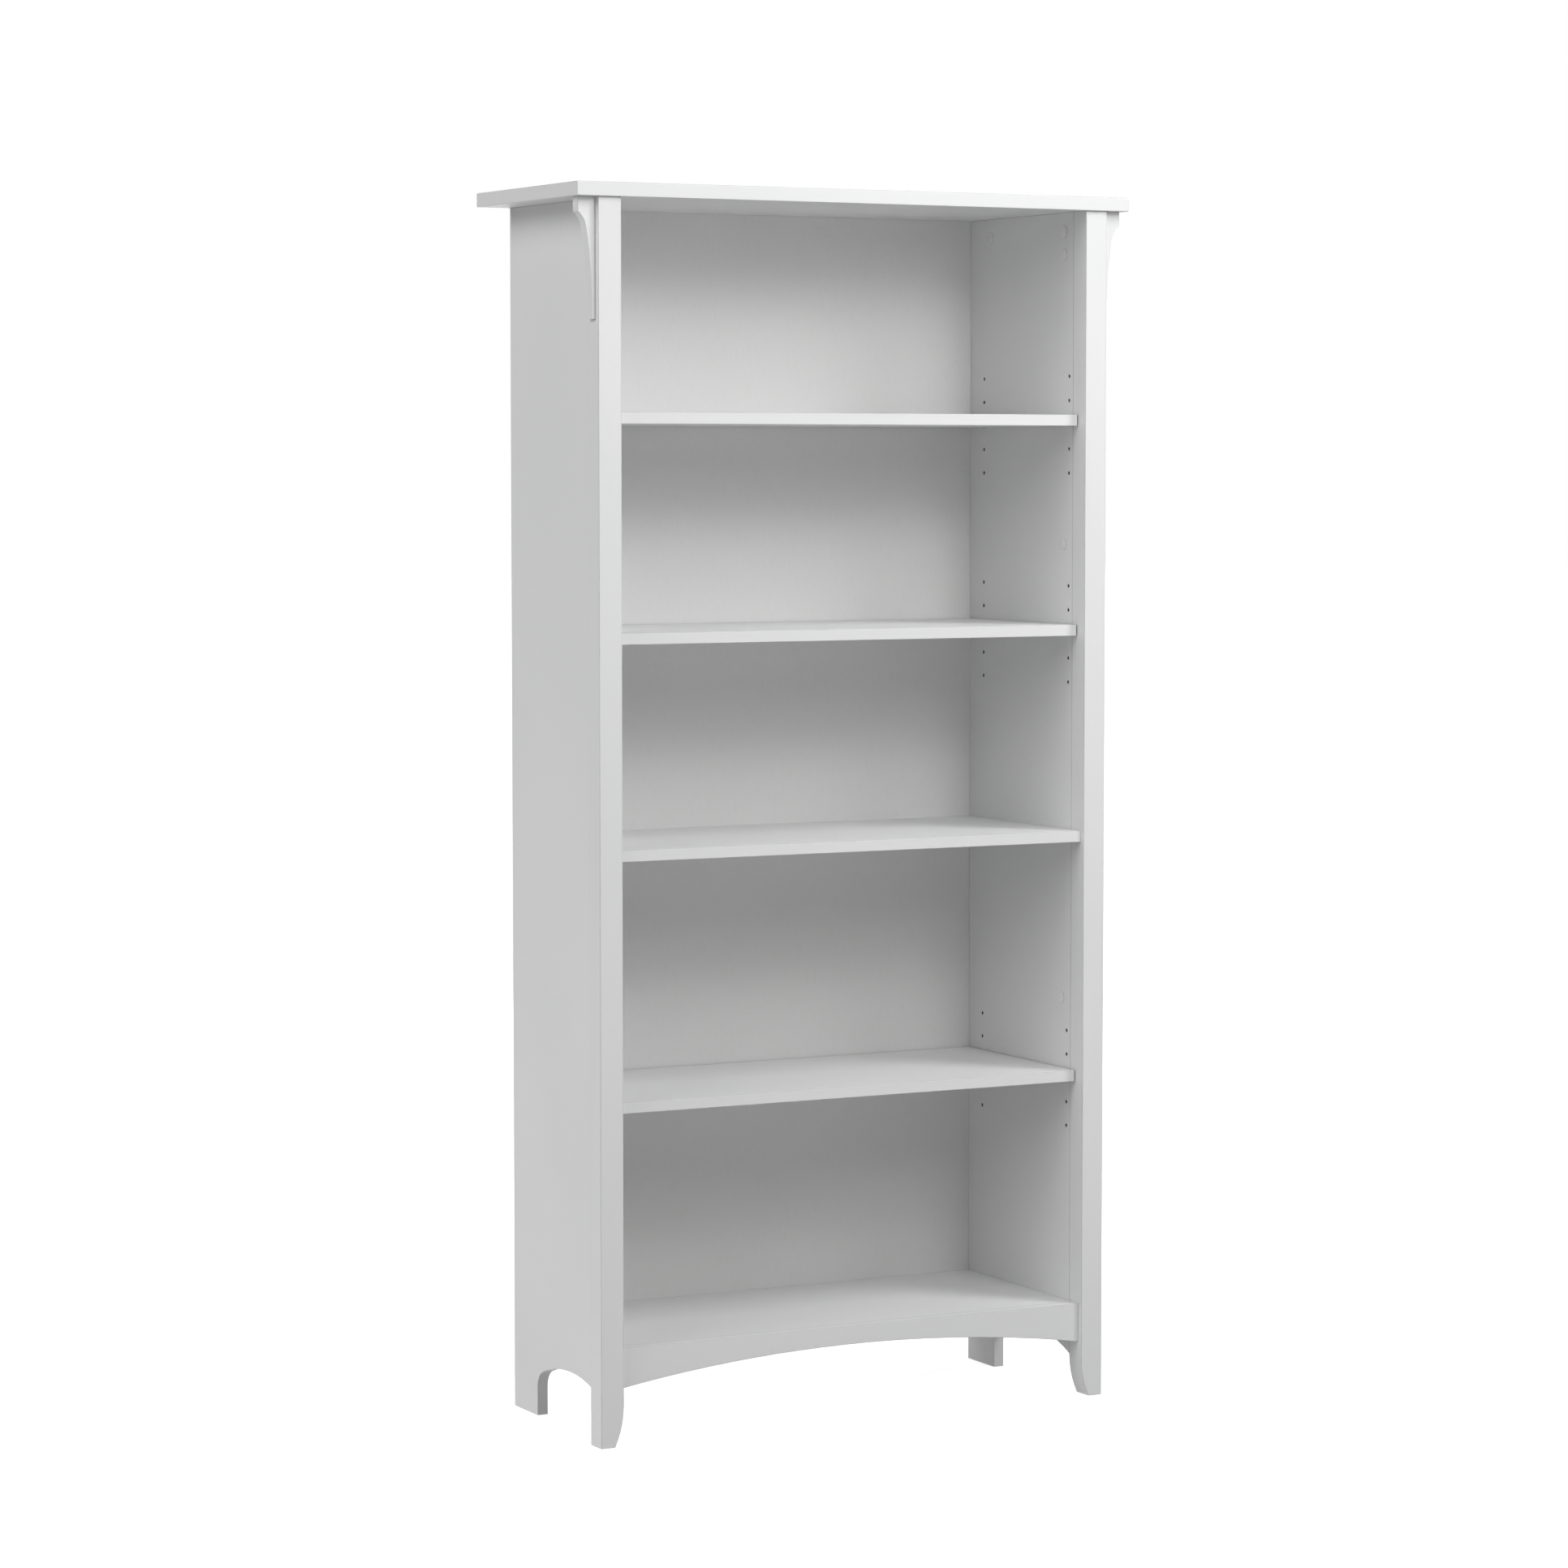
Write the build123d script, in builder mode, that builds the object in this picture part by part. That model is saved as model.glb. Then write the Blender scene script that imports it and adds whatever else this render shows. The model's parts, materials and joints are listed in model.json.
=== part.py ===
from build123d import *
import math
import os

# Bookcase with adjustable shelves, flat-packed: painted boards, cam locks, dowels and shelf pins.
# Millimetres, +X to the right, +Y to the back, +Z up. The origin is on the floor, at the centre of the
# outer box. Pieces of the right half are worked out first, and the left half is their mirror image.

# Overall size
overall_width = 804.0
overall_depth = 309.5
overall_height = 1595.0

# Boards
top_thickness = 18.0
top_side_overhang = 31.0
top_front_overhang = 5.0
stile_width = 31.5
stile_depth = 31.5
side_panel_thickness = 15.0
shelf_thickness = 15.0
apron_thickness = 15.0
back_panel_thickness = 3.0
top_edge_radius = 1.2
board_edge_radius = 0.8
seam_edge_radius = 0.5

# Shelves
bottom_shelf_height = 125.0
fixed_shelf_height = 759.0
fixed_shelf_setback = 6.5
adjustable_shelf_setback = 18.0
shelf_end_gap = 1.5
shelf_rear_gap = 1.5

# Feet and arches
stile_taper_height = 52.0
stile_taper_inset = 12.1
rear_foot_width = 72.0
rear_foot_corner_radius = 25.0
side_arch_spring = 53.0
side_arch_rise = 22.0
apron_end_height = 52.0
apron_arch_rise = 27.5

# Corbels, with the outline measured outwards from the stile and down from the top board
corbel_thickness = 15.0
corbel_reach = 24.3
corbel_block_height = 18.8
corbel_neck_reach = 12.7
corbel_neck_drop = 38.4
corbel_toe_reach = 4.6
corbel_height = 152.0

# Shelf pins and their holes
pin_hole_radius = 2.5
pin_hole_depth = 10.0
pin_hole_pitch = 32.0
holes_per_group = 5
pin_row_from_stile = 10.0
pin_row_from_back = 37.0
peg_clearance = 0.1
peg_length = 8.0
pin_width = 9.0
pin_flange_thickness = 1.0
pin_flange_rise = 4.5
pin_plate_thickness = 1.2
pin_plate_length = 11.0
pin_seat_drop = 1.8
pin_plate_corner_radius = 2.0

# Cam locks and bolts
cam_backset = 25.0
cam_radius = 7.3
cam_bore_radius = 7.5
cam_floor = 2.5
cam_sink = 0.3
cam_mouth_width = 7.2
cam_key_width = 1.4
cam_key_length = 10.0
cam_key_depth = 1.6
bolt_thread_radius = 3.0
bolt_thread_length = 11.0
bolt_shank_radius = 2.5
bolt_neck_radius = 1.8
bolt_neck_length = 4.0
bolt_head_radius = 3.2
bolt_head_length = 2.4
bolt_bore_radius = 3.6
rear_cam_from_back = 52.0
stile_cam_below_top = 55.0
upper_stile_cam_share = 0.367
lower_stile_cam_share = 0.168
stile_dowel_share = 0.75
apron_cam_spacing = 340.0
cap_radius = 8.4
cap_flat_radius = 4.6
cap_rise = 1.7
cap_rim = 0.6
cap_spigot_radius = 1.8
cap_spigot_length = 1.6

# Dowels, nails and the slack in their holes
dowel_radius = 4.0
dowel_length = 30.0
dowel_chamfer = 1.0
stile_dowel_depth = 10.0
top_dowel_depth = 10.0
side_dowel_depth = 9.0
apron_dowel_depth = 12.0
corbel_dowel_radius = 3.0
corbel_dowel_length = 16.0
corbel_dowel_depth = 9.0
corbel_dowel_drops = (12.0, 38.0)
top_dowel_inset = 46.0
hole_slack = 0.1
blind_slack = 0.5
nail_radius = 0.8
nail_length = 18.0
nail_head_radius = 2.4
nail_head_thickness = 0.8
nail_pitch = 140.0
back_panel_side_inset = 2.0
back_panel_top_reveal = 4.0
back_panel_joint_gap = 1.2
nail_from_joint = 4.5

# Planes of the case, worked out from the sizes above
front_y = -overall_depth / 2 + top_front_overhang
stile_back_y = front_y + stile_depth
back_y = overall_depth / 2 - back_panel_thickness
case_half = overall_width / 2 - top_side_overhang
inner_half = case_half - stile_width
side_outer = inner_half + side_panel_thickness
side_middle = inner_half + side_panel_thickness / 2
case_top = overall_height - top_thickness
fixed_shelf_bottom = fixed_shelf_height - shelf_thickness
bottom_shelf_bottom = bottom_shelf_height - shelf_thickness
fixed_shelf_middle = fixed_shelf_height - shelf_thickness / 2
bottom_shelf_middle = bottom_shelf_height - shelf_thickness / 2
middle_of_stile_y = front_y + stile_depth / 2
apron_front_y = middle_of_stile_y - apron_thickness / 2
apron_back_y = apron_front_y + apron_thickness

# Each adjustable shelf hangs from the middle hole of a group. The groups divide the room above and below
# the fixed shelf evenly, with the top of the middle hole on the dividing level.
upper_room = case_top - fixed_shelf_bottom
lower_room = fixed_shelf_bottom - bottom_shelf_bottom
group_heights = {
    "upper": case_top - upper_room / 3 - pin_hole_radius,
    "second": case_top - upper_room * 2 / 3 - pin_hole_radius,
    "lower": fixed_shelf_bottom - lower_room / 2 - pin_hole_radius,
}
half_group = pin_hole_pitch * (holes_per_group - 1) / 2
pin_rows = {"front": stile_back_y + pin_row_from_stile, "rear": back_y - pin_row_from_back}

right = (1, 0, 0)
inwards = (-1, 0, 0)
forwards = (0, -1, 0)
backwards = (0, 1, 0)
up = (0, 0, 1)
down = (0, 0, -1)


def site(x, y, z, direction, x_dir=None):
    """Plane on a joint face, facing the piece that takes the fastener's far end."""
    return Plane(origin=(x, y, z), z_dir=direction, x_dir=x_dir)


def between(low, high, share):
    """Level at the given share of the way from low to high."""
    return low + (high - low) * share


def mirrored(plane):
    """The same site on the left half."""
    origin, normal, across = plane.origin, plane.z_dir, plane.x_dir
    return Plane(
        origin=(-origin.X, origin.Y, origin.Z),
        x_dir=(-across.X, across.Y, across.Z),
        z_dir=(-normal.X, normal.Y, normal.Z),
    )


def on_both_sides(planes):
    return planes + [mirrored(plane) for plane in planes]


def flipped(plane):
    """The same joint face, facing the other piece."""
    return Plane(origin=plane.origin, x_dir=plane.x_dir, z_dir=plane.z_dir * -1)


def save(builder, node):
    builder.part.label = node
    export_step(builder.part, f"parts/{node}.step")


os.makedirs("parts", exist_ok=True)

# Two stretches of each side panel that have no pin holes take joints with the stile.
upper_stretch = (group_heights["second"] + half_group, group_heights["upper"] - half_group)
lower_stretch = (group_heights["lower"] + half_group, fixed_shelf_bottom)

# Cam joints. A site lies on the joint face and faces the piece that takes the bolt's thread, and its
# x_dir is the way the cam's open face looks.
cam_rows = (stile_back_y + cam_backset, back_y - rear_cam_from_back)
top_cams = [site(side_middle, y, case_top, up, inwards) for y in cam_rows]
stile_cam_heights = (
    case_top - stile_cam_below_top,
    between(*upper_stretch, upper_stile_cam_share),
    between(*lower_stretch, lower_stile_cam_share),
)
stile_cams = [site(side_middle, stile_back_y, z, forwards, inwards) for z in stile_cam_heights]
fixed_shelf_cams = [site(inner_half, y, fixed_shelf_middle, right, down) for y in cam_rows]
bottom_shelf_cams = [site(inner_half, y, bottom_shelf_middle, right, down) for y in cam_rows]
apron_cams = [site(apron_cam_spacing / 2, apron_back_y, bottom_shelf_middle, forwards, down)]

# Dowel joints. A site faces the piece that takes the shorter end.
top_dowel_rows = (cam_rows[0] + top_dowel_inset, cam_rows[1] - top_dowel_inset)
side_top_dowels = [site(side_middle, y, case_top, up) for y in top_dowel_rows]
stile_top_dowels = [site(case_half - stile_width / 2, middle_of_stile_y, case_top, up)]
stile_dowel_heights = (
    between(group_heights["upper"] + half_group, stile_cam_heights[0], 0.5),
    between(*upper_stretch, stile_dowel_share),
    between(*lower_stretch, stile_dowel_share),
    between(side_arch_spring, bottom_shelf_middle, 0.5),
)
stile_dowels = [site(side_middle, stile_back_y, z, forwards) for z in stile_dowel_heights]
middle_row = sum(cam_rows) / 2
fixed_shelf_dowels = [site(inner_half, middle_row, fixed_shelf_middle, right)]
bottom_shelf_dowels = [site(inner_half, middle_row, bottom_shelf_middle, right)]
apron_dowels = [
    site(inner_half, middle_of_stile_y, bottom_shelf_height - apron_end_height * share, right)
    for share in (0.25, 0.75)
]
corbel_dowels = [
    site(case_half, middle_of_stile_y, case_top - drop, inwards) for drop in corbel_dowel_drops
]


def cam_face(plane, board_thickness):
    """Open face of a cam lock, seen from the joint that it pulls together."""
    outward = plane.x_dir
    centre = plane.origin - plane.z_dir * cam_backset + outward * (board_thickness / 2)
    return Plane(origin=centre, x_dir=plane.z_dir, z_dir=outward)


def cam_faces(planes, board_thickness):
    return [cam_face(plane, board_thickness) for plane in planes]


def drill_cams(planes, board_thickness):
    """Bores in the board that holds the cam locks."""
    with Locations(*cam_faces(planes, board_thickness)):
        Hole(cam_bore_radius, board_thickness - cam_floor)
    with Locations(*planes):
        Hole(bolt_bore_radius, cam_backset)


def drill(planes, radius, depth):
    """Blind holes with a little slack round and behind the fastener."""
    with Locations(*planes):
        Hole(radius + hole_slack, depth + blind_slack)


def drill_threads(planes):
    drill([flipped(plane) for plane in planes], bolt_thread_radius, bolt_thread_length)


def drill_dowel_ends(planes, depth, radius=dowel_radius):
    """Holes in the piece that takes the shorter ends."""
    drill([flipped(plane) for plane in planes], radius, depth)


def evenly(first, last, longest_step):
    """Evenly spaced values from first to last, no further apart than longest_step."""
    steps = math.ceil((last - first) / longest_step)
    return [first + (last - first) * index / steps for index in range(steps + 1)]


# Nails go through the two rear panels into the rear edges of the boards.
fixed_joint_levels = (fixed_shelf_middle - nail_from_joint, fixed_shelf_middle + nail_from_joint)
top_nail_level = case_top + top_thickness / 2
lower_edge_nails = evenly(bottom_shelf_middle + nail_pitch / 2, fixed_joint_levels[0], nail_pitch)
upper_edge_nails = evenly(fixed_joint_levels[1], case_top - nail_pitch / 2, nail_pitch)
across_nails = evenly(-side_middle, side_middle, nail_pitch)
side_nails = [site(side_middle, back_y, z, backwards) for z in lower_edge_nails + upper_edge_nails]
top_nails = [site(x, back_y, top_nail_level, backwards) for x in across_nails]
fixed_shelf_nails = [
    site(x, back_y, z, backwards) for x in across_nails[1:-1] for z in fixed_joint_levels
]
bottom_shelf_nails = [site(x, back_y, bottom_shelf_middle, backwards) for x in across_nails[1:-1]]
corner_nails = [site(side_middle, back_y, bottom_shelf_middle, backwards)]
nail_depth = nail_length - back_panel_thickness


def drill_nails(planes):
    drill(planes, nail_radius, nail_depth)


# Top board
with BuildPart() as top_board:
    with BuildSketch(Plane.XY.offset(case_top)):
        with Locations((0, (back_y - overall_depth / 2) / 2)):
            Rectangle(overall_width, back_y + overall_depth / 2)
    extrude(amount=top_thickness)
    fillet(top_board.edges(), top_edge_radius)
    drill_threads(on_both_sides(top_cams))
    drill_dowel_ends(on_both_sides(side_top_dowels + stile_top_dowels), top_dowel_depth)
    drill_nails(top_nails)
save(top_board, "top_board")

# Side panels, with the rear foot and the arch between it and the stile
rear_foot_y = back_y - rear_foot_width
arch_crown = ((stile_back_y + rear_foot_y) / 2, side_arch_spring + side_arch_rise)
pin_hole_sites = [
    site(inner_half, y, middle + pin_hole_pitch * step - half_group, inwards)
    for middle in group_heights.values()
    for y in pin_rows.values()
    for step in range(holes_per_group)
]
with BuildPart() as right_side_panel:
    with BuildSketch(Plane.YZ.offset(inner_half)) as side_outline:
        with BuildLine():
            Polyline(
                (stile_back_y, side_arch_spring),
                (stile_back_y, case_top),
                (back_y, case_top),
                (back_y, 0),
                (rear_foot_y, 0),
                (rear_foot_y, side_arch_spring),
            )
            ThreePointArc(
                (rear_foot_y, side_arch_spring), arch_crown, (stile_back_y, side_arch_spring)
            )
        make_face()
        foot_corner = side_outline.vertices().sort_by_distance((rear_foot_y, side_arch_spring))[0]
        fillet(foot_corner, rear_foot_corner_radius)
    extrude(amount=side_panel_thickness)
    panel_rims = right_side_panel.faces().filter_by(Axis.X).edges()
    fillet(panel_rims, seam_edge_radius)
    with Locations(*pin_hole_sites):
        Hole(pin_hole_radius, pin_hole_depth)
    drill_cams(top_cams + stile_cams, side_panel_thickness)
    drill(side_top_dowels, dowel_radius, dowel_length - top_dowel_depth)
    drill(stile_dowels, dowel_radius, dowel_length - stile_dowel_depth)
    drill_threads(fixed_shelf_cams + bottom_shelf_cams)
    drill_dowel_ends(fixed_shelf_dowels + bottom_shelf_dowels, side_dowel_depth)
    drill_nails(side_nails + corner_nails)
with BuildPart() as left_side_panel:
    mirror(right_side_panel.part, about=Plane.YZ)
save(right_side_panel, "right_side_panel")
save(left_side_panel, "left_side_panel")

# Front stiles, with the foot curved in from the inner side
with BuildPart() as right_front_stile:
    with BuildSketch(Plane(origin=(0, stile_back_y, 0), x_dir=right, z_dir=forwards)):
        with BuildLine():
            Polyline(
                (inner_half, stile_taper_height),
                (inner_half, case_top),
                (case_half, case_top),
                (case_half, 0),
                (inner_half + stile_taper_inset, 0),
            )
            TangentArc(
                (inner_half, stile_taper_height),
                (inner_half + stile_taper_inset, 0),
                tangent=(0, -1),
            )
        make_face()
    extrude(amount=stile_depth)
    fillet(right_front_stile.faces().filter_by(Axis.Y).edges(), seam_edge_radius)
    drill_threads(stile_cams)
    drill_dowel_ends(stile_dowels, stile_dowel_depth)
    drill(stile_top_dowels, dowel_radius, dowel_length - top_dowel_depth)
    drill_dowel_ends(apron_dowels, apron_dowel_depth)
    drill_dowel_ends(corbel_dowels, corbel_dowel_depth, corbel_dowel_radius)
with BuildPart() as left_front_stile:
    mirror(right_front_stile.part, about=Plane.YZ)
save(right_front_stile, "right_front_stile")
save(left_front_stile, "left_front_stile")

# Corbels: a square block at the top, a cove under it, and a long taper to a thin toe
corbel_back_y = middle_of_stile_y + corbel_thickness / 2
with BuildPart() as right_corbel:
    with BuildSketch(Plane(origin=(case_half, corbel_back_y, case_top), x_dir=right, z_dir=forwards)):
        with BuildLine():
            block = (corbel_reach, -corbel_block_height)
            neck = (corbel_neck_reach, -corbel_neck_drop)
            toe = (corbel_toe_reach, -corbel_height)
            Polyline(block, (corbel_reach, 0), (0, 0), (0, -corbel_height), toe)
            taper = TangentArc(toe, neck, tangent=(0, 1))
            TangentArc(neck, block, tangent=taper % 1)
        make_face()
    extrude(amount=corbel_thickness)
    outer_edges = right_corbel.faces().filter_by(Axis.Y).edges().filter_by(
        lambda edge: edge.center().X > case_half + 1
    )
    fillet(outer_edges, seam_edge_radius)
    drill(corbel_dowels, corbel_dowel_radius, corbel_dowel_length - corbel_dowel_depth)
with BuildPart() as left_corbel:
    mirror(right_corbel.part, about=Plane.YZ)
save(right_corbel, "right_corbel")
save(left_corbel, "left_corbel")


def shelf_board(half_width, front, rear, upper_face):
    """Plain board with its two long front edges eased."""
    with BuildPart() as board:
        with BuildSketch(Plane.XY.offset(upper_face - shelf_thickness)):
            with Locations((0, (front + rear) / 2)):
                Rectangle(2 * half_width, rear - front)
        extrude(amount=shelf_thickness)
        fillet(board.faces().sort_by(Axis.Y)[0].edges(), board_edge_radius)
    return board.part


# Fixed middle shelf
with BuildPart() as fixed_middle_shelf:
    add(shelf_board(inner_half, front_y + fixed_shelf_setback, back_y, fixed_shelf_height))
    drill_cams(on_both_sides(fixed_shelf_cams), shelf_thickness)
    drill(on_both_sides(fixed_shelf_dowels), dowel_radius, dowel_length - side_dowel_depth)
    drill_nails(fixed_shelf_nails)
save(fixed_middle_shelf, "fixed_middle_shelf")

# Bottom shelf, behind the apron and flush with its top
with BuildPart() as bottom_shelf:
    with BuildSketch(Plane.XY.offset(bottom_shelf_bottom)):
        with Locations((0, (apron_back_y + back_y) / 2)):
            Rectangle(2 * inner_half, back_y - apron_back_y)
    extrude(amount=shelf_thickness)
    drill_cams(on_both_sides(bottom_shelf_cams + apron_cams), shelf_thickness)
    drill(on_both_sides(bottom_shelf_dowels), dowel_radius, dowel_length - side_dowel_depth)
    drill_nails(bottom_shelf_nails)
save(bottom_shelf, "bottom_shelf")

# Arched front apron
apron_low = bottom_shelf_height - apron_end_height
with BuildPart() as front_apron:
    with BuildSketch(Plane(origin=(0, apron_back_y, 0), x_dir=right, z_dir=forwards)):
        with BuildLine():
            Polyline(
                (-inner_half, apron_low),
                (-inner_half, bottom_shelf_height),
                (inner_half, bottom_shelf_height),
                (inner_half, apron_low),
            )
            ThreePointArc(
                (inner_half, apron_low), (0, apron_low + apron_arch_rise), (-inner_half, apron_low)
            )
        make_face()
    extrude(amount=apron_thickness)
    fillet(front_apron.faces().sort_by(Axis.Y)[0].edges(), board_edge_radius)
    drill_threads(on_both_sides(apron_cams))
    drill(on_both_sides(apron_dowels), dowel_radius, dowel_length - apron_dowel_depth)
save(front_apron, "front_apron")

# Adjustable shelves, each resting on the seats of its four pins
for group, height in group_heights.items():
    with BuildPart() as adjustable_shelf:
        add(
            shelf_board(
                inner_half - shelf_end_gap,
                front_y + adjustable_shelf_setback,
                back_y - shelf_rear_gap,
                height - pin_seat_drop + shelf_thickness,
            )
        )
    save(adjustable_shelf, f"{group}_adjustable_shelf")

# Rear panels, which meet behind the fixed shelf
all_nails = on_both_sides(side_nails + corner_nails) + top_nails + fixed_shelf_nails + bottom_shelf_nails
rear_face_nails = [plane.offset(back_panel_thickness) for plane in all_nails]
back_half = side_outer - back_panel_side_inset
back_levels = {
    "lower": (bottom_shelf_bottom, fixed_shelf_middle - back_panel_joint_gap / 2),
    "upper": (fixed_shelf_middle + back_panel_joint_gap / 2, overall_height - back_panel_top_reveal),
}
for level, (low, high) in back_levels.items():
    with BuildPart() as back_panel:
        with BuildSketch(Plane(origin=(0, back_y, 0), x_dir=inwards, z_dir=backwards)):
            with Locations((0, (low + high) / 2)):
                Rectangle(2 * back_half, high - low)
        extrude(amount=back_panel_thickness)
        with Locations(*rear_face_nails):
            Hole(nail_radius + hole_slack, back_panel_thickness)
            Hole(nail_head_radius + hole_slack, nail_head_thickness)
    save(back_panel, f"{level}_back_panel")

# Shelf pins: a peg for the hole, a flange against the side panel and a flat seat under the shelf
with BuildPart() as shelf_pin:
    with BuildSketch():
        Circle(pin_width / 2)
        with Locations((0, -(pin_seat_drop + pin_plate_thickness) / 2)):
            Rectangle(pin_width, pin_seat_drop + pin_plate_thickness)
        seat_bottom = -pin_seat_drop - pin_plate_thickness
        with Locations((0, seat_bottom)):
            Rectangle(2 * pin_width, 2 * pin_width, align=(Align.CENTER, Align.MAX), mode=Mode.SUBTRACT)
        with Locations((0, pin_flange_rise)):
            Rectangle(2 * pin_width, 2 * pin_width, align=(Align.CENTER, Align.MIN), mode=Mode.SUBTRACT)
    extrude(amount=pin_flange_thickness)
    with BuildSketch(Plane.XZ.offset(pin_seat_drop)):
        with Locations((0, pin_plate_length / 2)):
            Rectangle(pin_width, pin_plate_length)
    extrude(amount=pin_plate_thickness)
    seat_corners = shelf_pin.edges().filter_by(Axis.Y).group_by(Axis.Z)[-1]
    fillet(seat_corners, pin_plate_corner_radius)
    with BuildSketch(Plane.XY):
        Circle(pin_hole_radius - peg_clearance)
    extrude(amount=-peg_length)

for group, height in group_heights.items():
    for row, y in pin_rows.items():
        with BuildPart() as right_pin:
            with Locations(site(inner_half, y, height, inwards, forwards)):
                add(shelf_pin.part)
        with BuildPart() as left_pin:
            mirror(right_pin.part, about=Plane.YZ)
        save(right_pin, f"{group}_{row}_right_shelf_pin")
        save(left_pin, f"{group}_{row}_left_shelf_pin")


def cam_lock(board_thickness):
    """Cam lock in its bore: +X looks at the joint, +Z out of the board, the bore's mouth is at z = 0."""
    height = board_thickness - cam_floor - 2 * cam_sink
    with BuildPart() as lock:
        with BuildSketch(Plane.XY.offset(-cam_sink)):
            Circle(cam_radius)
        extrude(amount=-height)
        with BuildSketch(Plane.XY.offset(-board_thickness / 2 - cam_mouth_width / 2)):
            with Locations((cam_radius / 2, 0)):
                Rectangle(cam_radius * 2, cam_mouth_width)
        extrude(amount=cam_mouth_width, mode=Mode.SUBTRACT)
        with BuildSketch(Plane.XY.offset(-cam_sink)):
            Circle(cap_spigot_radius + hole_slack)
            Rectangle(cam_key_length, cam_key_width)
            Rectangle(cam_key_width, cam_key_length)
        extrude(amount=-cam_key_depth, mode=Mode.SUBTRACT)
    return lock.part


def cam_bolt():
    """Cam bolt: the joint face is at z = 0, the thread points up and the head lies in the cam."""
    neck_top = -cam_backset + bolt_neck_length
    head_low = -cam_backset - bolt_head_length / 2
    head_high = -cam_backset + bolt_head_length / 2
    with BuildPart() as bolt:
        with BuildSketch(Plane.XZ):
            with BuildLine():
                Polyline(
                    (0, bolt_thread_length),
                    (bolt_thread_radius - 1, bolt_thread_length),
                    (bolt_thread_radius, bolt_thread_length - 1),
                    (bolt_thread_radius, 0),
                    (bolt_shank_radius, 0),
                    (bolt_shank_radius, neck_top),
                    (bolt_neck_radius, neck_top),
                    (bolt_neck_radius, head_high),
                    (bolt_head_radius, head_high),
                    (bolt_head_radius, head_low),
                    (0, head_low),
                    close=True,
                )
            make_face()
        revolve(axis=Axis.Z)
    return bolt.part


def dowel(radius, length, short_end):
    """Plain dowel: the joint face is at z = 0 and the shorter end points up."""
    with BuildPart() as peg:
        with BuildSketch(Plane.XY.offset(short_end - length)):
            Circle(radius)
        extrude(amount=length)
        chamfer(peg.edges().filter_by(GeomType.CIRCLE), dowel_chamfer)
    return peg.part


def save_both_sides(node, planes, piece):
    """One node with a copy of the fastener at each site of the right half and its mirror image."""
    with BuildPart() as group:
        with Locations(*planes):
            add(piece)
        mirror(about=Plane.YZ)
    save(group, node)


# Cam locks and bolts
side_lock = cam_lock(side_panel_thickness)
shelf_lock = cam_lock(shelf_thickness)
bolt = cam_bolt()
save_both_sides("top_cam_locks", cam_faces(top_cams, side_panel_thickness), side_lock)
save_both_sides("stile_cam_locks", cam_faces(stile_cams, side_panel_thickness), side_lock)
save_both_sides("fixed_shelf_cam_locks", cam_faces(fixed_shelf_cams, shelf_thickness), shelf_lock)
save_both_sides("bottom_shelf_cam_locks", cam_faces(bottom_shelf_cams, shelf_thickness), shelf_lock)
save_both_sides("apron_cam_locks", cam_faces(apron_cams, shelf_thickness), shelf_lock)
save_both_sides("top_cam_bolts", top_cams, bolt)
save_both_sides("stile_cam_bolts", stile_cams, bolt)
save_both_sides("fixed_shelf_cam_bolts", fixed_shelf_cams, bolt)
save_both_sides("bottom_shelf_cam_bolts", bottom_shelf_cams, bolt)
save_both_sides("apron_cam_bolts", apron_cams, bolt)

# Dowels
top_dowel = dowel(dowel_radius, dowel_length, top_dowel_depth)
stile_dowel = dowel(dowel_radius, dowel_length, stile_dowel_depth)
side_dowel = dowel(dowel_radius, dowel_length, side_dowel_depth)
apron_dowel = dowel(dowel_radius, dowel_length, apron_dowel_depth)
corbel_dowel = dowel(corbel_dowel_radius, corbel_dowel_length, corbel_dowel_depth)
save_both_sides("top_dowels", side_top_dowels + stile_top_dowels, top_dowel)
save_both_sides("stile_dowels", stile_dowels, stile_dowel)
save_both_sides("fixed_shelf_dowels", fixed_shelf_dowels, side_dowel)
save_both_sides("bottom_shelf_dowels", bottom_shelf_dowels, side_dowel)
save_both_sides("apron_dowels", apron_dowels, apron_dowel)
save_both_sides("corbel_dowels", corbel_dowels, corbel_dowel)

# Covers over the cam locks of the side panels, sloped from a flat centre to a thin rim
with BuildPart() as cam_cover:
    with BuildSketch(Plane.XZ):
        with BuildLine():
            Polyline(
                (0, cap_rise),
                (0, -cap_spigot_length),
                (cap_spigot_radius, -cap_spigot_length),
                (cap_spigot_radius, 0),
                (cap_radius, 0),
                (cap_radius, cap_rim),
                (cap_flat_radius, cap_rise),
                close=True,
            )
        make_face()
    revolve(axis=Axis.Z)
save_both_sides(
    "cam_covers", cam_faces(top_cams + stile_cams, side_panel_thickness), cam_cover.part
)

# Nails, with their heads sunk flush in the rear panels
with BuildPart() as nail:
    with BuildSketch(Plane.XZ):
        with BuildLine():
            Polyline(
                (0, 0),
                (nail_head_radius, 0),
                (nail_head_radius, -nail_head_thickness),
                (nail_radius, -nail_head_thickness),
                (nail_radius, 2 * nail_radius - nail_length),
                (0, -nail_length),
                close=True,
            )
        make_face()
    revolve(axis=Axis.Z)
with BuildPart() as back_panel_nails:
    with Locations(*rear_face_nails):
        add(nail.part)
save(back_panel_nails, "back_panel_nails")
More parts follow.
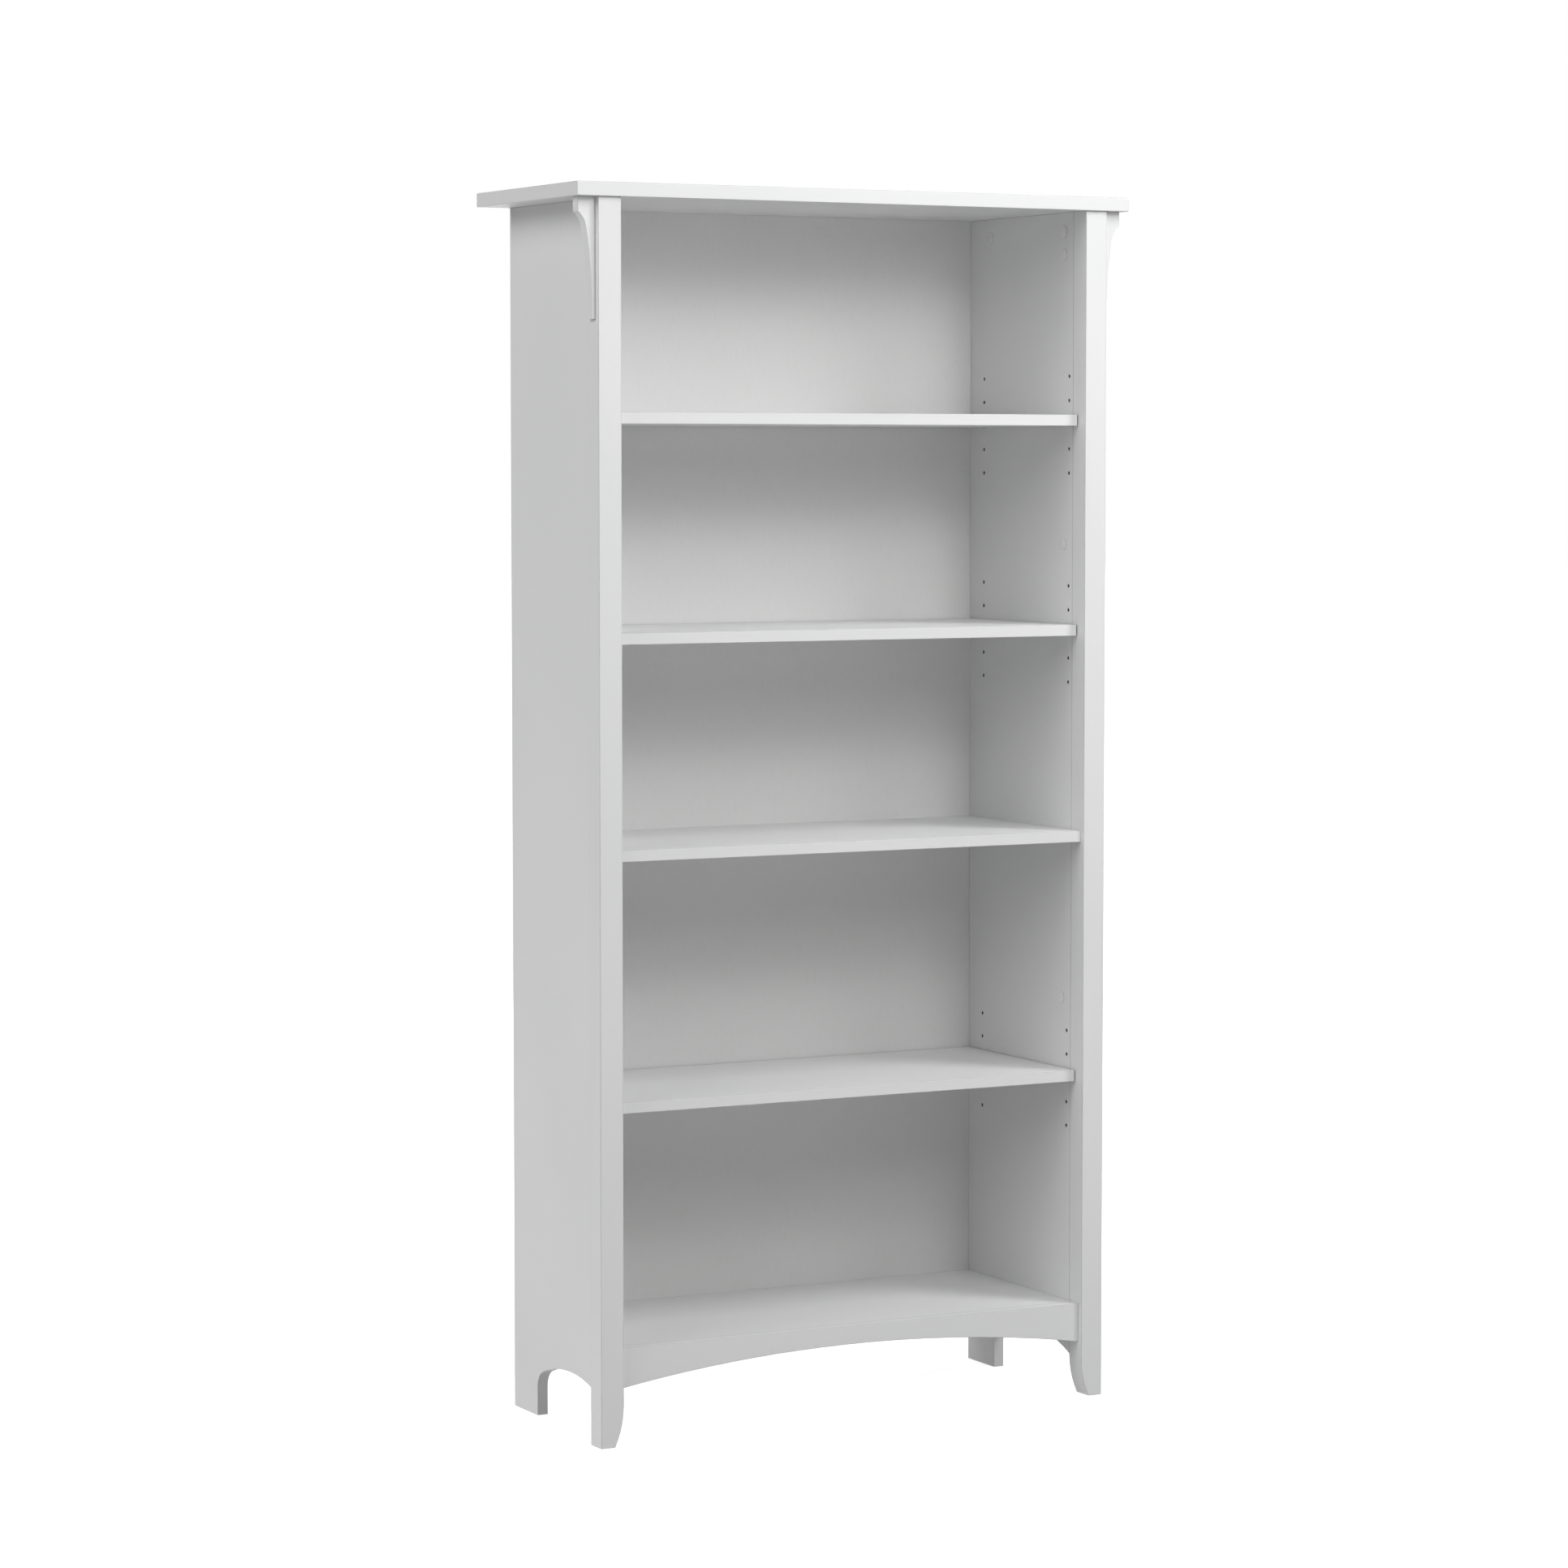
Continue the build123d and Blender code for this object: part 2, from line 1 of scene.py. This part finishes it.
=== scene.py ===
import bpy
import json
import math
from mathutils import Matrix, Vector


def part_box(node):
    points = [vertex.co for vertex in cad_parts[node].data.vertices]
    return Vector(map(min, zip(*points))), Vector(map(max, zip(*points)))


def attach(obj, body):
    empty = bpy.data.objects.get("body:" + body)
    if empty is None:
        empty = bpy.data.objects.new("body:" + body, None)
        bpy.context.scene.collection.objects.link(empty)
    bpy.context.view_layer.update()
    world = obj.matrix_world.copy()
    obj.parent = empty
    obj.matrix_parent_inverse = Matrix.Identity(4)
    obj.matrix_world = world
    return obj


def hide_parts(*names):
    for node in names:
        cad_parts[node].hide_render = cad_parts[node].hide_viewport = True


# White bookcase with adjustable shelves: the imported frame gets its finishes, rounded cam covers, a pale
# floor, studio light and a camera. Metres, +X right, +Y back, +Z up.

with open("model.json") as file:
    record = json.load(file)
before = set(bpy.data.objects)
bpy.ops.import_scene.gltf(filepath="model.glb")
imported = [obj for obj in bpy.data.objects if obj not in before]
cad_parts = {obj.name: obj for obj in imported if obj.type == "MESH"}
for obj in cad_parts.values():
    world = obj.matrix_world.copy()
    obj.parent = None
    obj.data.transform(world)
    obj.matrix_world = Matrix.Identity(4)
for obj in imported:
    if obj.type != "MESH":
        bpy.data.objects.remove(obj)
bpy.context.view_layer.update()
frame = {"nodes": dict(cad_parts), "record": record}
nodes = frame["nodes"]
slotOf = {part["node"]: part["material_slot"] for part in frame["record"]["subparts"]}


class Wire:  # an output socket that can stand in an expression
    def __init__(self, finish, socket):
        self.finish = finish
        self.socket = socket

    def math(self, operation, *values):
        return self.finish.node("ShaderNodeMath", {"operation": operation}, dict(enumerate(values)))

    def __add__(self, other):
        return self.math("ADD", self, other)

    def __radd__(self, other):
        return self.math("ADD", other, self)

    def __sub__(self, other):
        return self.math("SUBTRACT", self, other)

    def __rsub__(self, other):
        return self.math("SUBTRACT", other, self)

    def __mul__(self, other):
        return self.math("MULTIPLY", self, other)

    def __rmul__(self, other):
        return self.math("MULTIPLY", other, self)

    def least(self, other):
        return self.math("MINIMUM", self, other)

    def most(self, other):
        return self.math("MAXIMUM", self, other)


class Finish:  # a node tree, with one way to add any node to it
    def __init__(self, tree):
        self.tree = tree
        tree.nodes.clear()

    def node(self, kind, settings=None, sockets=None, out=0):
        made = self.tree.nodes.new(kind)
        for name, value in (settings or {}).items():
            setattr(made, name, value)
        for name, value in (sockets or {}).items():
            if isinstance(value, Wire):
                self.tree.links.new(value.socket, made.inputs[name])
            else:
                made.inputs[name].default_value = value
        return Wire(self, made.outputs[out]) if made.outputs else None

    def place(self, stretch=(1, 1, 1)):
        where = self.node("ShaderNodeTexCoord", out="Object")
        return self.node("ShaderNodeMapping", sockets={"Vector": where, "Scale": stretch})

    def axes(self, vector):
        return [self.node("ShaderNodeSeparateXYZ", sockets={0: vector}, out=axis) for axis in range(3)]

    def noise(self, place, scale, detail=2.0, roughness=0.5):
        return self.node(
            "ShaderNodeTexNoise",
            sockets={"Vector": place, "Scale": scale, "Detail": detail, "Roughness": roughness},
        )

    def steps(self, value, low, high):  # 0 below low, 1 above high and a smooth rise between them
        return self.node(
            "ShaderNodeMapRange", {"interpolation_type": "SMOOTHSTEP"},
            {"Value": value, "From Min": low, "From Max": high},
        )

    def blend(self, share, first, second):
        return self.node(
            "ShaderNodeMix", {"data_type": "RGBA"}, {0: share, 6: first, 7: second}, out=2
        )

    def wave(self, value, perMetre):
        return self.node("ShaderNodeMath", {"operation": "SINE"}, {0: value * (perMetre * 2 * math.pi)})

    def relief(self, height, distance):
        return self.node("ShaderNodeBump", sockets={"Height": height, "Distance": distance})

    def close(self, sockets):
        surface = self.node("ShaderNodeBsdfPrincipled", sockets=sockets)
        self.node("ShaderNodeOutputMaterial", sockets={"Surface": surface})


def newFinish(name):
    material = bpy.data.materials.new(name)
    material.use_nodes = True
    return material, Finish(material.node_tree)


def faceGaps(across, box):  # distances to the nearer side of a board's own box, along each axis
    low, high = box
    return [(axis - low[i]).least(high[i] - axis) for i, axis in enumerate(across)]


paint = {
    "white": (0.78, 0.78, 0.78, 1),
    "cooler": (0.762, 0.765, 0.769, 1),
    "rubbed": (0.67, 0.665, 0.65, 1),
    "rubbedShare": 0.5,
    "roughness": 0.5,
    "gloss": 0.35,
    "cloudPerMetre": 3.5,
    "grainPerMetre": 620,
    "peelPerMetre": 190,
    "scuffsPerMetre": 38,
    "relief": 0.00005,
    "edgeWidth": 0.0016,
    # Painted shade: a dark line along every edge of the boards
    "paintedEdgeShade": (0.36, 0.36, 0.355, 1),
    "paintedEdgeShadeWidth": 0.0008,
    "paintedEdgeShadeShare": 0.6,
    # Bare core and painted shade in the bores
    "boreCoreAndShade": (0.18, 0.17, 0.155, 1),
    "archReach": 0.16,
}


def satinPaint(node, drilled=False):  # drilled: a tall board whose bores show the bare core, painted darker still as painted shade in the bores
    material, finish = newFinish("satinPaint_" + node)
    place = finish.place()
    across = finish.axes(place)
    gaps = faceGaps(across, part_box(node))
    cloud = finish.noise(place, paint["cloudPerMetre"], 3)
    peel = finish.noise(place, paint["peelPerMetre"], 1)
    grain = finish.noise(place, paint["grainPerMetre"], 2)
    scuffs = finish.steps(finish.noise(place, paint["scuffsPerMetre"], 4, 0.65), 0.5, 0.68)
    # The middle one of three gaps is the distance to the nearest edge
    edgeGap = gaps[0].least(gaps[1]).most(gaps[0].most(gaps[1]).least(gaps[2]))
    wear = (1 - finish.steps(edgeGap, 0.0004, paint["edgeWidth"])) * scuffs
    # Painted shade: a dark line along every edge of the board's box, standing in for the shade at edges
    # and in the joints between boards
    paintedEdgeShade = 1 - finish.steps(edgeGap, paint["paintedEdgeShadeWidth"] * 0.4, paint["paintedEdgeShadeWidth"])
    tone = finish.blend(finish.steps(cloud, 0.35, 0.65), paint["white"], paint["cooler"])
    tone = finish.blend(wear * paint["rubbedShare"], tone, paint["rubbed"])
    tone = finish.blend(paintedEdgeShade * paint["paintedEdgeShadeShare"], tone, paint["paintedEdgeShade"])
    if drilled:
        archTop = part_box(node)[0].z + paint["archReach"]
        aboveArch = finish.steps(across[2], archTop, archTop + 0.01)
        # Bare core and painted shade: the walls of the bores, away from the arch, get a dark tone, darker
        # than bare core, as painted shade in the bores
        inside = finish.steps(gaps[0].least(gaps[1]).least(gaps[2]), 0.0003, 0.0009)
        tone = finish.blend(inside * aboveArch, tone, paint["boreCoreAndShade"])
    finish.close({
        "Base Color": tone,
        "Roughness": paint["roughness"] + (cloud - 0.5) * 0.16 + (grain - 0.5) * 0.12 - wear * 0.12,
        "Specular IOR Level": paint["gloss"],
        "Normal": finish.relief(peel * 0.55 + grain * 0.45, paint["relief"]),
    })
    return material


board = {
    "white": (0.78, 0.78, 0.777, 1),
    "fibre": (0.735, 0.732, 0.725, 1),
    "roughness": 0.55,
    "meshPerMetre": 420,
    "fibrePerMetre": 260,
    "rearDepth": (0.0016, 0.0026),
    "frontRelief": 0.00006,
    "meshRelief": 0.00012,
}


def paintedHardboard(node):  # smooth in front, with the mesh of its press on the rear face
    material, finish = newFinish("paintedHardboard_" + node)
    place = finish.place()
    across = finish.axes(place)
    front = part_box(node)[0].y
    rear = finish.steps(across[1], front + board["rearDepth"][0], front + board["rearDepth"][1])
    mesh = finish.wave(across[0], board["meshPerMetre"]) * finish.wave(across[2], board["meshPerMetre"])
    fibre = finish.noise(finish.place((1, 1, 0.35)), board["fibrePerMetre"], 3, 0.6)
    cloud = finish.noise(place, 5, 3)
    finish.close({
        "Base Color": finish.blend(finish.steps(fibre, 0.5, 0.8) * 0.5, board["white"], board["fibre"]),
        "Roughness": board["roughness"] + (cloud - 0.5) * 0.14 + (fibre - 0.5) * 0.1,
        "Normal": finish.relief(
            fibre + rear * (mesh * 0.5 + 0.5) * (board["meshRelief"] / board["frontRelief"]),
            board["frontRelief"],
        ),
    })
    return material


metals = {
    "pin_steel": {"bright": (0.78, 0.79, 0.80, 1), "dull": (0.60, 0.61, 0.63, 1), "roughness": 0.28},
    "zinc": {"bright": (0.62, 0.63, 0.65, 1), "dull": (0.46, 0.47, 0.49, 1), "roughness": 0.48},
    "bolt_steel": {"bright": (0.72, 0.72, 0.70, 1), "dull": (0.55, 0.55, 0.53, 1), "roughness": 0.34},
    "nail_steel": {"bright": (0.66, 0.66, 0.67, 1), "dull": (0.47, 0.47, 0.48, 1), "roughness": 0.38},
}


def platedMetal(slot):
    look = metals[slot]
    material, finish = newFinish(slot)
    place = finish.place()
    bloom = finish.noise(place, 240, 3, 0.6)
    scratches = finish.noise(finish.place((1, 0.15, 1)), 2200, 2, 0.6)
    finish.close({
        "Base Color": finish.blend(finish.steps(bloom, 0.35, 0.7), look["bright"], look["dull"]),
        "Metallic": 1.0,
        "Roughness": look["roughness"] + (bloom - 0.5) * 0.3 + (scratches - 0.5) * 0.12,
        "Normal": finish.relief(scratches * 0.6 + bloom * 0.4, 0.00002),
    })
    return material


beech = {
    "light": (0.66, 0.45, 0.27, 1),
    "dark": (0.50, 0.31, 0.17, 1),
    "roughness": 0.6,
}


def bareBeech(node, along):  # grain runs along the dowels
    material, finish = newFinish("bareBeech_" + node)
    stretch = [0.12 if axis == along else 1 for axis in range(3)]
    place = finish.place(stretch)
    grain = finish.noise(place, 900, 3, 0.6)
    flecks = finish.steps(finish.noise(place, 2400, 1), 0.6, 0.72)
    finish.close({
        "Base Color": finish.blend(
            (finish.steps(grain, 0.3, 0.7) + flecks * 0.5).least(1), beech["light"], beech["dark"]
        ),
        "Roughness": beech["roughness"] + (grain - 0.5) * 0.2,
        "Normal": finish.relief(grain, 0.00008),
    })
    return material


cover = {
    "radius": 0.0084,
    "white": (0.79, 0.79, 0.785, 1),
    "greyer": (0.745, 0.745, 0.74, 1),
    # Painted shade at the foot of the rim
    "foot": (0.22, 0.22, 0.215, 1),
    "footHeight": 0.0005,
    "roughness": 0.42,
    "rimRise": 0.00055,
    "steps": ((0.0009, 0.00042), (0.0016, 0.00034), (0.0018, 0.00022), (0.0019, 0.00010)),
    "spigotRadius": 0.0018,
    "spigotLength": 0.0016,
}


def coverPlastic():  # painted shade: dark at the foot of the rim, where it meets the panel
    material, finish = newFinish("coverPlastic")
    place = finish.place()
    cloud = finish.noise(place, 90, 2)
    grain = finish.noise(place, 1500, 2)
    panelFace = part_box("right_side_panel")[0].x
    x = finish.axes(place)[0]
    height = panelFace - x.most(0 - x)
    tone = finish.blend(finish.steps(cloud, 0.3, 0.7), cover["white"], cover["greyer"])
    # Painted shade: a dark band up to half a millimetre above the panel, for the shade where the rim
    # meets it
    foot = 1 - finish.steps(height, cover["footHeight"] * 0.6, cover["footHeight"])
    finish.close({
        "Base Color": finish.blend(foot, tone, cover["foot"]),
        "Roughness": cover["roughness"] + (grain - 0.5) * 0.16,
        "Normal": finish.relief(grain, 0.00002),
    })
    return material


# Finishes of the CAD nodes
dowelAxes = {"top_dowels": 2, "stile_dowels": 1}
metalFinish = {slot: platedMetal(slot) for slot in metals}
for name, node in nodes.items():
    slot = slotOf[name]
    if slot == "painted_board":
        material = satinPaint(name, name.endswith(("side_panel", "front_stile")))
    elif slot == "painted_hardboard":
        material = paintedHardboard(name)
    elif slot == "beech":
        material = bareBeech(name, dowelAxes.get(name, 0))
    elif slot == "cover_plastic":
        material = coverPlastic()
    else:
        material = metalFinish[slot]
    node.data.materials.clear()
    node.data.materials.append(material)
print("finishes:", len(bpy.data.materials), "materials")


def spots(node, reach):  # middle of each separate solid of a node
    groups = []
    for vertex in nodes[node].data.vertices:
        for group in groups:
            if (vertex.co - group[0]).length < reach:
                group.append(vertex.co)
                break
        else:
            groups.append([vertex.co])
    return [
        Vector([(min(p[i] for p in group) + max(p[i] for p in group)) / 2 for i in range(3)])
        for group in groups
    ]


def pickFaces(mesh, wanted):  # in edit mode, selects only the faces that wanted() accepts
    bpy.ops.mesh.select_all(action="DESELECT")
    bpy.ops.object.mode_set(mode="OBJECT")
    for face in mesh.polygons:
        face.select = wanted(face)
    bpy.ops.object.mode_set(mode="EDIT")
    bpy.ops.mesh.select_mode(type="FACE")


# Cam covers: a rounded cap with a thin rim, and the spigot that holds it in the cam
bpy.ops.object.select_all(action="DESELECT")
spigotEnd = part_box("cam_covers")[1].x
bpy.ops.mesh.primitive_cylinder_add(
    vertices=56, radius=cover["radius"], depth=cover["rimRise"], location=(0, 0, cover["rimRise"] / 2)
)
cap = bpy.context.object
bpy.ops.object.transform_apply(location=True, rotation=True, scale=True)
bpy.ops.object.mode_set(mode="EDIT")
pickFaces(cap.data, lambda face: face.normal.z > 0.9)
for inset, rise in cover["steps"]:
    bpy.ops.mesh.inset(thickness=inset, depth=rise)
pickFaces(cap.data, lambda face: face.normal.z < -0.9)
bpy.ops.mesh.inset(thickness=cover["radius"] - cover["spigotRadius"], depth=0)
bpy.ops.mesh.inset(thickness=0.00001, depth=cover["spigotLength"])
bpy.ops.mesh.select_all(action="SELECT")
bpy.ops.mesh.normals_make_consistent(inside=False)
bpy.ops.object.mode_set(mode="OBJECT")
bpy.ops.object.shade_smooth_by_angle(angle=math.radians(40))
covers = []
for spot in spots("cam_covers", 0.03):
    side = 1 if spot.x > 0 else -1
    copy = cap.copy()
    copy.data = cap.data.copy()
    bpy.context.scene.collection.objects.link(copy)
    copy.rotation_euler = (0, -side * math.pi / 2, 0)
    copy.location = (side * (spigotEnd - cover["spigotLength"]), spot.y, spot.z)
    covers.append(copy)
bpy.data.objects.remove(cap)
bpy.ops.object.select_all(action="DESELECT")
for copy in covers:
    copy.select_set(True)
bpy.context.view_layer.objects.active = covers[0]
bpy.ops.object.transform_apply(location=True, rotation=True, scale=True)
bpy.ops.object.join()
camCovers = bpy.context.object
camCovers.name = "camCovers"
camCovers.data.materials.clear()
camCovers.data.materials.append(coverPlastic())
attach(camCovers, "case")
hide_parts("cam_covers")
print("cam covers:", len(covers))

# Studio: floor, room, lamps
studio = {
    "floorSize": 80,
    "floorWhite": (0.9, 0.9, 0.9, 1),
    "floorGreyer": (0.88, 0.88, 0.88, 1),
    "glowNear": 0.62,
    "glowFar": 0.88,
    "nearReach": 2.5,
    "farReach": 6.0,
    "roomBelow": 0.35,
    "softboxes": {  # place, what it points at, diameter, power
        "highRight": ((2.05, -2.44, 4.08), (0, 0, 0.9), 1.6, 73),
        "midRight": ((2.50, -2.99, 3.15), (0, 0, 0.9), 1.6, 31),
        "front": ((0.6, -3.2, 2.4), (0, 0, 1.0), 1.3, 22),
        "nearFront": ((0.2, -2.2, 2.5), (0, 0, 1.2), 1.0, 16),
        "rear": ((0.6, 4.2, 1.9), (0, 0, 0.8), 2.4, 95),
        "right": ((3.8, 1.0, 1.7), (0, 0, 0.8), 2.0, 28),
    },
    "windows": {  # turn from the front and rise, breadth in degrees, power; they do not fall off
        "leftFront": (-75, 30, 50, 1.09),
        "left": (-95, 30, 40, 0.83),
    },
}
bpy.ops.object.select_all(action="DESELECT")
bpy.ops.mesh.primitive_plane_add(size=studio["floorSize"])
floor = bpy.context.object
floor.name = "studioFloor"
material, finish = newFinish("studioFloor")
paleCloud = finish.noise(finish.place(), 0.7, 2)
distance = finish.node(
    "ShaderNodeVectorMath", {"operation": "LENGTH"}, {0: finish.place()}, out="Value"
)
farShare = finish.steps(distance, studio["nearReach"], studio["farReach"])
finish.close({
    "Base Color": finish.blend(paleCloud, studio["floorWhite"], studio["floorGreyer"]),
    "Roughness": 0.75 + (paleCloud - 0.5) * 0.1,
    "Emission Color": farShare * (studio["glowFar"] - studio["glowNear"]) + studio["glowNear"],
    "Emission Strength": 1.0,
})
floor.data.materials.append(material)
floor.visible_diffuse = False
print("floor")

# Room light: pale from below, as from a white floor, and plain white as a backdrop
world = bpy.data.worlds.new("studioRoom")
world.use_nodes = True
bpy.context.scene.world = world
room = Finish(world.node_tree)
direction = room.axes(room.node("ShaderNodeTexCoord", out="Generated"))
strength = (1 - room.steps(direction[2], -0.05, 0.05)) * studio["roomBelow"]
light = room.node("ShaderNodeBackground", sockets={"Color": (1, 1, 1, 1), "Strength": strength})
backdrop = room.node("ShaderNodeBackground", sockets={"Color": (1, 1, 1, 1), "Strength": 1.0})
seen = room.node("ShaderNodeLightPath", out="Is Camera Ray")
shown = room.node("ShaderNodeMixShader", sockets={0: seen, 1: light, 2: backdrop})
room.node("ShaderNodeOutputWorld", sockets={"Surface": shown})


def addLamp(name, kind, power, at, aim):
    lamp = bpy.data.lights.new(name, kind)
    lamp.energy = power
    holder = bpy.data.objects.new(name, lamp)
    bpy.context.scene.collection.objects.link(holder)
    holder.location = at
    holder.rotation_euler = aim.to_track_quat("-Z", "Y").to_euler()
    return lamp


for name, (at, towards, size, power) in studio["softboxes"].items():
    lamp = addLamp(name, "AREA", power, at, Vector(towards) - Vector(at))
    lamp.shape = "DISK"
    lamp.size = size
for name, (turn, rise, breadth, power) in studio["windows"].items():
    turn, rise = math.radians(turn), math.radians(rise)
    level = math.cos(rise)
    side = Vector((math.sin(turn) * level, -math.cos(turn) * level, math.sin(rise)))
    lamp = addLamp(name, "SUN", power, side * 5, -side)
    lamp.angle = math.radians(breadth)
bpy.context.scene.view_settings.view_transform = "Standard"
print("light:", len(studio["softboxes"]) + len(studio["windows"]), "lamps and the room")

# Camera, to the left of the bookcase and a little above the middle of its height
view = {"at": (-2.8537, -5.3492, 1.2440), "turn": 27.820, "tilt": 3.968, "lens": 105.70}
camera = bpy.data.cameras.new("camera")
camera.lens = view["lens"]
camera.sensor_width = 36
holder = bpy.data.objects.new("camera", camera)
bpy.context.scene.collection.objects.link(holder)
holder.location = view["at"]
holder.rotation_euler = (math.radians(90 - view["tilt"]), 0, -math.radians(view["turn"]))
bpy.context.scene.camera = holder
print("camera")
